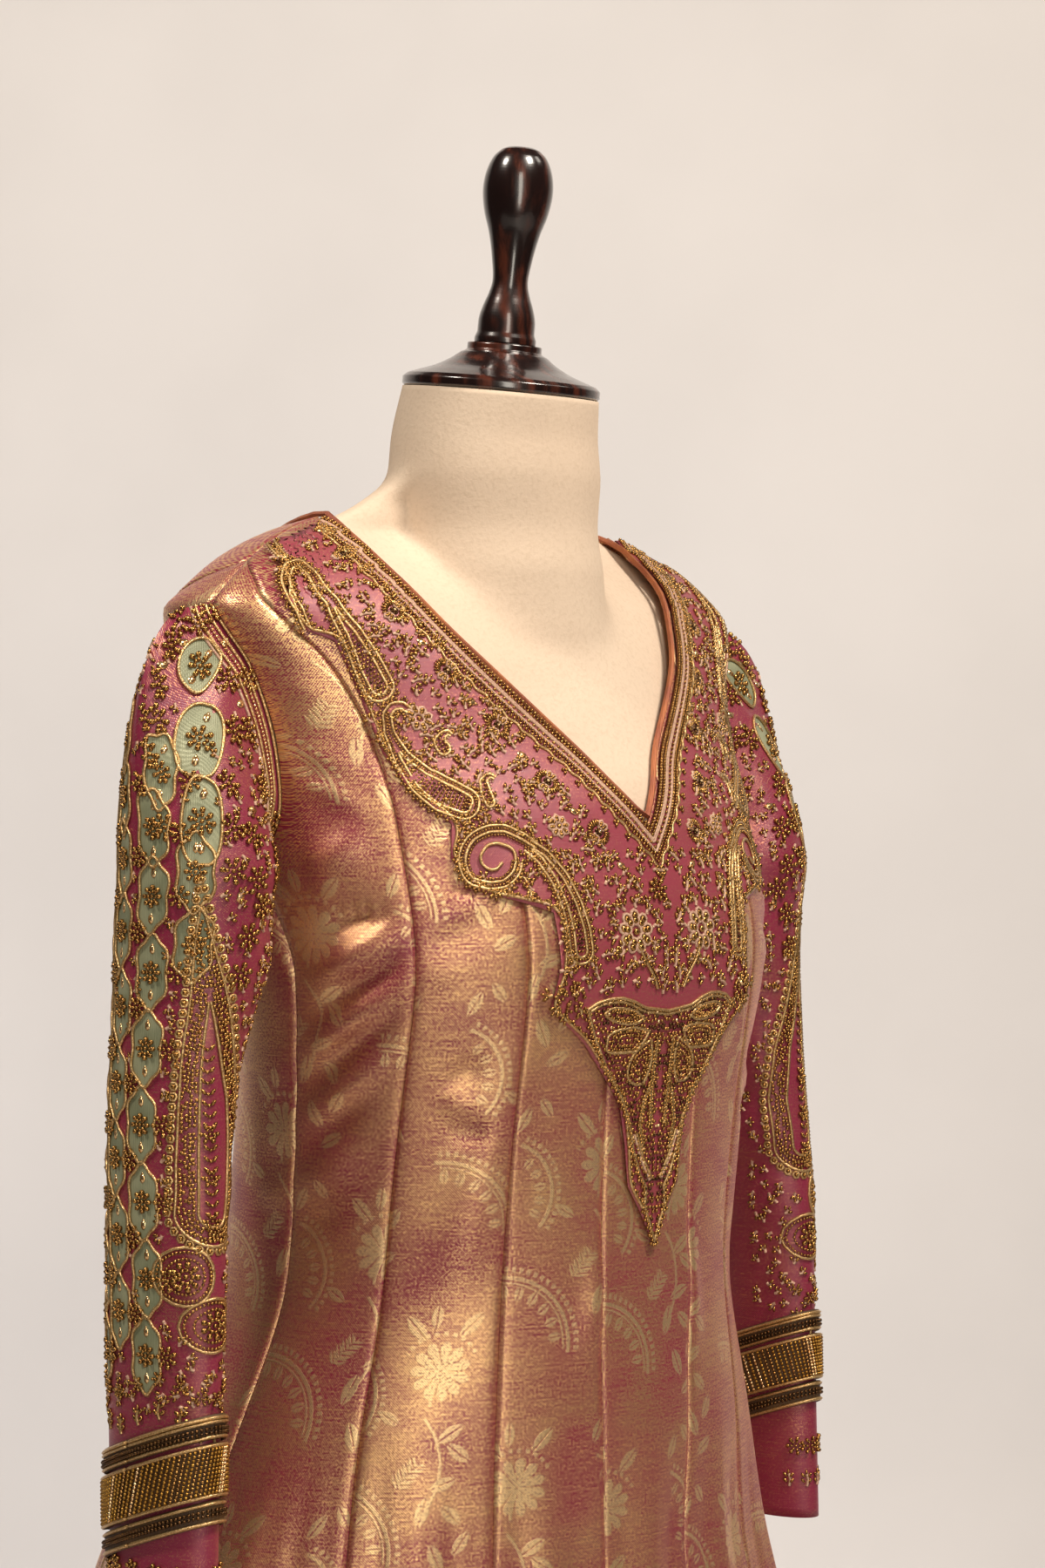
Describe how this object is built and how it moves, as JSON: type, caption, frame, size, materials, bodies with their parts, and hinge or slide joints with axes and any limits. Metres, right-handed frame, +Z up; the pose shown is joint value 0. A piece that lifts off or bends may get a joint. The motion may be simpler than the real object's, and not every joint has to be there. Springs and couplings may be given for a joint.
{
  "type": "anarkali gown on a dress form",
  "caption": "Floor-length anarkali gown of shot silk brocade, with long sleeves and a beaded V-neck yoke, on a limbless suede dress form with turned wooden cap, pole and base.",
  "frame": {"origin": "centre of the stand base's underside", "axes": "+Z up, -Y out of the gown's front, +X towards the wearer's left"},
  "size_m": [0.8522, 0.7835, 1.6486],
  "materials": {
    "brocade": "shot silk brocade with a satin sheen",
    "embroidered_silk": "silk under metal thread and beads",
    "gold_braid": "metal thread braid",
    "suede": "matte suede",
    "walnut": "polished dark walnut"
  },
  "bodies": {
    "root": {"front_centre_panel": "brocade", "back_centre_panel": "brocade", "front_inner_panel_left": "brocade", "front_inner_panel_right": "brocade", "front_outer_panel_left": "brocade", "front_outer_panel_right": "brocade", "side_front_panel_left": "brocade", "side_front_panel_right": "brocade", "side_back_panel_left": "brocade", "side_back_panel_right": "brocade", "back_outer_panel_left": "brocade", "back_outer_panel_right": "brocade", "back_inner_panel_left": "brocade", "back_inner_panel_right": "brocade", "front_yoke": "embroidered_silk", "neck_piping": "gold_braid", "sleeve_left": "embroidered_silk", "sleeve_right": "embroidered_silk", "dress_form": "suede", "neck_cap": "walnut", "finial": "walnut", "stand_base": "walnut", "stand_pole": "walnut", "sleeve_upper_braid_left": "gold_braid", "sleeve_upper_braid_right": "gold_braid", "sleeve_bead_band_left": "gold_braid", "sleeve_bead_band_right": "gold_braid", "sleeve_lower_braid_left": "gold_braid", "sleeve_lower_braid_right": "gold_braid"}
  },
  "joints": []
}
